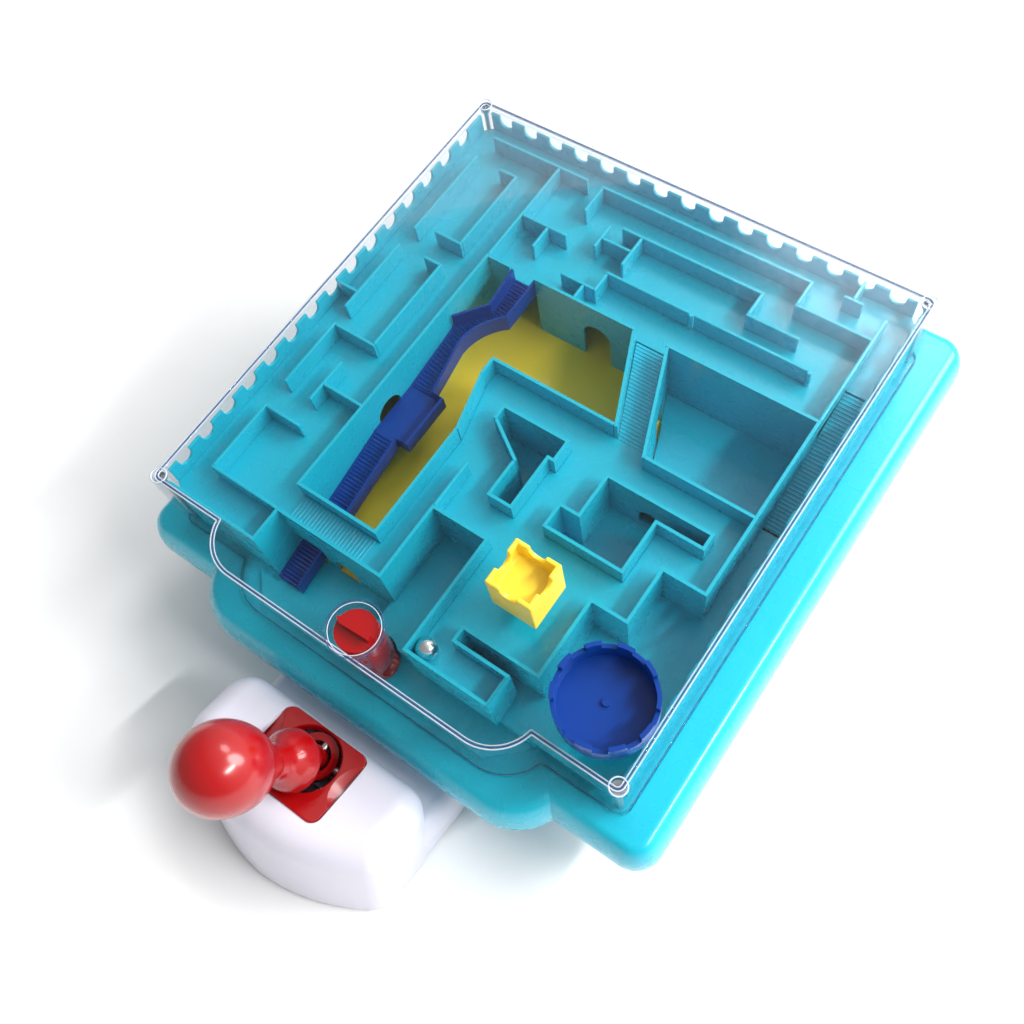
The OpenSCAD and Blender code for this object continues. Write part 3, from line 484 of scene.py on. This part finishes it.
def make_base_top():
    base = solid("base_housing", CONSOLE, shell_rings(11, 10.8, CONSOLE_H))
    combine(base, solid("foot_tool", FOOT, shell_rings(8, 7.8, FOOT_H, flare=0)), "UNION")
    combine(base, solid("neck_tool", NECK, neck_rings()), "UNION")
    collar = [(10, FOOT_H - 3, 0), (9, FOOT_H, 2.5), (8, COLLAR_H - 2.5, 14),
              (7.6, COLLAR_H - 1, 15), (6.8, COLLAR_H - 0.3, 15), (5.6, COLLAR_H, 15)]
    square = corners(42, -42, 42)
    combine(base, solid("collar_tool", square, collar), "UNION")
    combine(base, solid("foot_in", FOOT, shell_rings(8, 7.8, FOOT_H, SHELL_WALL, flare=0)),
            "DIFFERENCE")
    combine(base, solid("neck_in", corners(CONSOLE_HW - 8, -145, 0), neck_rings(SHELL_WALL)),
            "DIFFERENCE")
    inner = [c for c in CONSOLE if c[1] < -150] + [(34.5, -149.6), (-34.5, -149.6)]
    combine(base, solid("console_in", inner, shell_rings(11, 10.8, CONSOLE_H, SHELL_WALL)),
            "DIFFERENCE")
    inside = [(r - SHELL_WALL, z - SHELL_WALL, inwards) for r, z, inwards in collar]
    combine(base, solid("collar_in", square, inside), "DIFFERENCE")
    combine(base, solid("opening", corners(28, -28, 28), [(2, 10), (2, 60)]), "DIFFERENCE")
    combine(base, solid("panel_hole", PANEL, [(4, 40), (4, PANEL_TOP), (4.9, 48)]), "DIFFERENCE")
    smooth(base)
    paint(base, "white_plastic")
    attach(base, "base")
    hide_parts("base_top")


# Knob: a lathe-turned bulb with a waist
def make_knob():
    # Its foot round the shaft, then the bulb, which reaches further down than up
    section = [(0, 35.1), (5.4, 35.1), (6.0, 35.6), (6.1, 37.2)]
    for k in range(29):
        a = math.radians(-52 + 142 * k / 28)
        reach = 21 if a < 0 else 16.5
        section.append((KNOB_R * math.cos(a), KNOB_S + reach * math.sin(a)))
    count = 72
    shape = bmesh.new()
    rows = []
    for radius, height in section:
        if radius < 1e-6:
            rows.append([shape.verts.new((0, 0, mm(height)))] * count)
            continue
        rows.append([shape.verts.new((mm(radius * math.cos(2 * math.pi * k / count)),
                                      mm(radius * math.sin(2 * math.pi * k / count)), mm(height)))
                     for k in range(count)])
    for low, high in zip(rows, rows[1:]):
        for i in range(count):
            j = (i + 1) % count
            face = list(dict.fromkeys((low[i], low[j], high[j], high[i])))
            shape.faces.new(face)
    shape.transform(STICK)
    bmesh.ops.recalc_face_normals(shape, faces=shape.faces)
    knob = new_object("knob_bulb", shape)
    smooth(knob)
    paint(knob, "red_plastic")
    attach(knob, "stick")
    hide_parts("stick_knob")


# Joystick panel: a sunk plate with a lens-shaped scoop on each side of its hole
def make_panel():
    top = PANEL_TOP
    plate = solid("dish_panel", PANEL,
                  [(3.4, 43.2), (3.8, 43.5), (3.8, top - 0.6), (3.6, top - 0.2), (3.1, top)])
    hole = [(0, HOLE_Y)]
    combine(plate, solid("hole_tool", hole, [(12.6, 40), (12.6, top - 0.7), (13, top - 0.2),
                                             (13.6, top), (13.6, 60)]), "DIFFERENCE")
    scoop_r, scoop_x, scoop_rise = 26, 26.5, 22.8
    for side in (-1, 1):
        bowl = []
        for k in range(25):
            a = math.radians(-80 + 160 * k / 24)
            bowl.append((scoop_r * math.cos(a), top + scoop_rise + scoop_r * math.sin(a)))
        combine(plate, solid("scoop", [(side * scoop_x, HOLE_Y)], bowl), "DIFFERENCE")
    smooth(plate, 25)
    paint(plate, "red_plastic")
    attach(plate, "base")
    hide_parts("stick_panel")


# ---- twisting track: a ribbed chute between two walls, swept along the yard's long wall ----
RIB = 1.5


def lerp(a, b, t):
    return a + (b - a) * t


def bezier(points, t):
    """Point on the curve with these four control points."""
    a, b, c, d = points
    weights = ((1 - t) ** 3, 3 * t * (1 - t) ** 2, 3 * t * t * (1 - t), t ** 3)
    return tuple(sum(w * p[i] for w, p in zip(weights, (a, b, c, d))) for i in (0, 1))


def track_stations():
    """Left point, right point, floor height, left wall, right wall and rib height, downhill."""
    left_line = [(-42.9, 41.4), (-42.6, 24.5)]
    right_line = [(-31.1, 41.4), (-32.4, 23)]
    wall_x = -53.2
    stations = []

    def add(left, right, z, left_wall, right_wall, travel, ribs=True):
        rib = 0.28 * (1 + math.sin(2 * math.pi * travel / RIB)) if ribs else 0
        stations.append((left, right, z, left_wall, right_wall, rib))

    # The first stretch, down to the bend
    steps = 44
    for k in range(steps):
        t = k / steps
        left = tuple(lerp(a, b, t) for a, b in zip(*left_line))
        right = tuple(lerp(a, b, t) for a, b in zip(*right_line))
        add(left, right, lerp(-11.3, -14, t), 7, 7, 17.5 * t)
    # The bend, whose right side is a curve
    arc = [right_line[1], (-37.5, 20), (-43, 13), (-43, 5)]
    steps = 52
    for k in range(steps):
        t = k / steps
        left = (lerp(left_line[1][0], wall_x, min(1, t * 1.5)), lerp(24.5, 8, t))
        add(left, bezier(arc, t), lerp(-14, -16.8, t), 7 if t < 0.66 else 0.2, 7, 20 * t)
    # The straight after it, a little wider downhill
    steps = 52
    for k in range(steps + 1):
        t = k / steps
        add((wall_x, lerp(8, -16, t)), (lerp(-43, -41, t), lerp(5, -16, t)),
            lerp(-16.8, -19.8, t), 0.2, lerp(7, 5, t), 21 * t)
    # A wide landing without ribs
    for y in (-16.05, -17, -38.6, -39.6):
        add((wall_x, y), (-36, y), -20, 0.2, 5, 0, ribs=False)
    # The long lower stretch
    steps = 170
    for k in range(steps + 1):
        t = k / steps
        y = lerp(-39.65, -105, t)
        add((wall_x, y), (-41, y), lerp(-20.2, -34, t), 0.2, 5.2, 66 * t)
    return stations


def make_track():
    thick, wall = 1.2, 1.1
    shape = bmesh.new()
    rows = []
    for left, right, z, left_wall, right_wall, rib in track_stations():
        across = Vector((right[0] - left[0], right[1] - left[1])).normalized()
        inner_left = (left[0] + wall * across.x, left[1] + wall * across.y)
        inner_right = (right[0] - wall * across.x, right[1] - wall * across.y)
        outline = [(left, z - thick), (left, z + left_wall), (inner_left, z + left_wall),
                   (inner_left, z + rib), (inner_right, z + rib), (inner_right, z + right_wall),
                   (right, z + right_wall), (right, z - thick)]
        rows.append([shape.verts.new((mm(p[0]), mm(p[1]), mm(h))) for p, h in outline])
    for low, high in zip(rows, rows[1:]):
        for i in range(8):
            j = (i + 1) % 8
            shape.faces.new((low[i], low[j], high[j], high[i]))
    shape.faces.new(list(reversed(rows[0])))
    shape.faces.new(rows[-1])
    bmesh.ops.recalc_face_normals(shape, faces=shape.faces)
    shape.transform(BOARD)
    track = new_object("ribbed_track", shape)
    smooth(track, 40)
    paint(track, "blue_plastic")
    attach(track, "board")
    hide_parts("twist_track")


make_lower_shell()
make_lid()
make_base_top()
make_panel()
make_knob()
make_track()


# ---- floor, light and camera ----
# Point that the lights face, and the sky: brighter towards this direction
AIM = (0, 0, 0.06)
SKY_DIRECTION = (0.45, 0.85, 0.3)
SKY_FROM, SKY_TO = 0.0, 0.9
SKY_DARK, SKY_BRIGHT = 0.38, 1.3


def make_floor():
    shape = bmesh.new()
    bmesh.ops.create_grid(shape, x_segments=2, y_segments=2, size=3)
    floor = new_object("floor", shape)
    floor.data.materials.append(moulded("floor", (0.9, 0.9, 0.9), 0.8, vary=0.01, grain=60))


def make_light(name, place, size, power):
    light = bpy.data.lights.new(name, "AREA")
    light.shape = "ELLIPSE"
    light.size = size[0]
    light.size_y = size[1]
    light.energy = power
    obj = bpy.data.objects.new(name, light)
    obj.location = place
    aim = Vector(AIM) - Vector(place)
    obj.rotation_euler = aim.to_track_quat("-Z", "Y").to_euler()
    bpy.context.scene.collection.objects.link(obj)


def make_world():
    world = bpy.data.worlds.new("studio")
    world.use_nodes = True
    background = world.node_tree.nodes["Background"]
    background.inputs["Color"].default_value = (1, 1, 1, 1)
    coords = world.node_tree.nodes.new("ShaderNodeTexCoord")
    toward = world.node_tree.nodes.new("ShaderNodeVectorMath")
    toward.operation = "DOT_PRODUCT"
    toward.inputs[1].default_value = SKY_DIRECTION
    glow = world.node_tree.nodes.new("ShaderNodeMapRange")
    glow.inputs["From Min"].default_value = SKY_FROM
    glow.inputs["From Max"].default_value = SKY_TO
    glow.inputs["To Min"].default_value = SKY_DARK
    glow.inputs["To Max"].default_value = SKY_BRIGHT
    links = world.node_tree.links
    links.new(coords.outputs["Generated"], toward.inputs[0])
    links.new(toward.outputs["Value"], glow.inputs["Value"])
    links.new(glow.outputs["Result"], background.inputs["Strength"])
    bpy.context.scene.world = world
    bpy.context.scene.view_settings.view_transform = "Standard"


def make_camera():
    camera = bpy.data.objects.new("camera", bpy.data.cameras.new("camera"))
    camera.data.lens = 36.27
    camera.data.sensor_width = 36
    camera.data.clip_start = 0.01
    right = Vector((0.8115, 0.5824, 0.0479)).normalized()
    look = Vector((-0.3253, 0.5183, -0.7910)).normalized()
    up = right.cross(look).normalized()
    right = look.cross(up).normalized()
    turn = Matrix((right, up, -look)).transposed().to_4x4()
    camera.matrix_world = Matrix.Translation((0.1353, -0.2467, 0.3906)) @ turn
    bpy.context.scene.collection.objects.link(camera)
    bpy.context.scene.camera = camera


make_floor()
make_world()
make_light("key", (0.75, 0.55, 1.0), (0.6, 0.9), 15)
make_light("fill", (0.0, 0.5, 1.1), (0.5, 0.3), 2.5)
make_light("strip", (0.61, -0.05, 0.69), (0.42, 0.025), 5)
make_camera()
